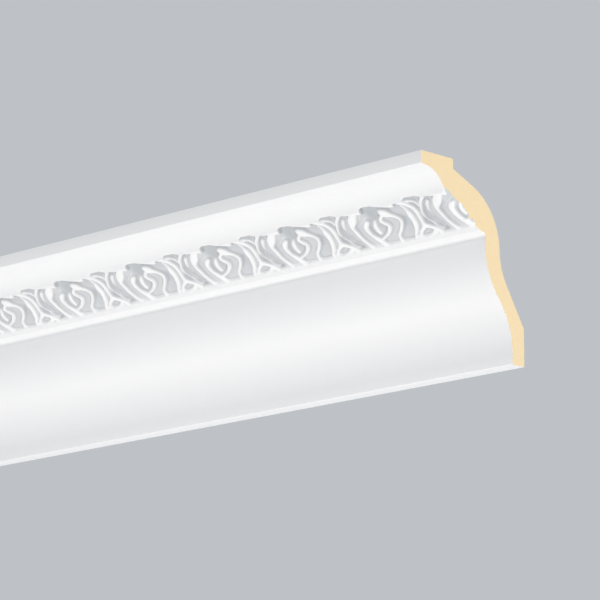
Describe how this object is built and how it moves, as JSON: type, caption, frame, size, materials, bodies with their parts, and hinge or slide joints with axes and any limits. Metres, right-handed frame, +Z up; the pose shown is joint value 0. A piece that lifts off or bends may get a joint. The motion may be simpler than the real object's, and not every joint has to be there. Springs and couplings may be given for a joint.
{
  "type": "cornice moulding length",
  "caption": "Straight length of cornice moulding with a carved leaf-and-dart band over an ogee, cut square, glued between wall and ceiling.",
  "frame": {"origin": "middle of the flat face that is glued to the wall", "axes": "+Y into the wall, +Z up to the ceiling, +X along the moulding"},
  "size_m": [0.5642, 0.105, 0.136],
  "materials": {
    "primed_white": "matt white primer over dense foam, with bare cream foam on the two sawn ends"
  },
  "bodies": {
    "root": {"cornice_length": "primed_white"}
  },
  "joints": []
}
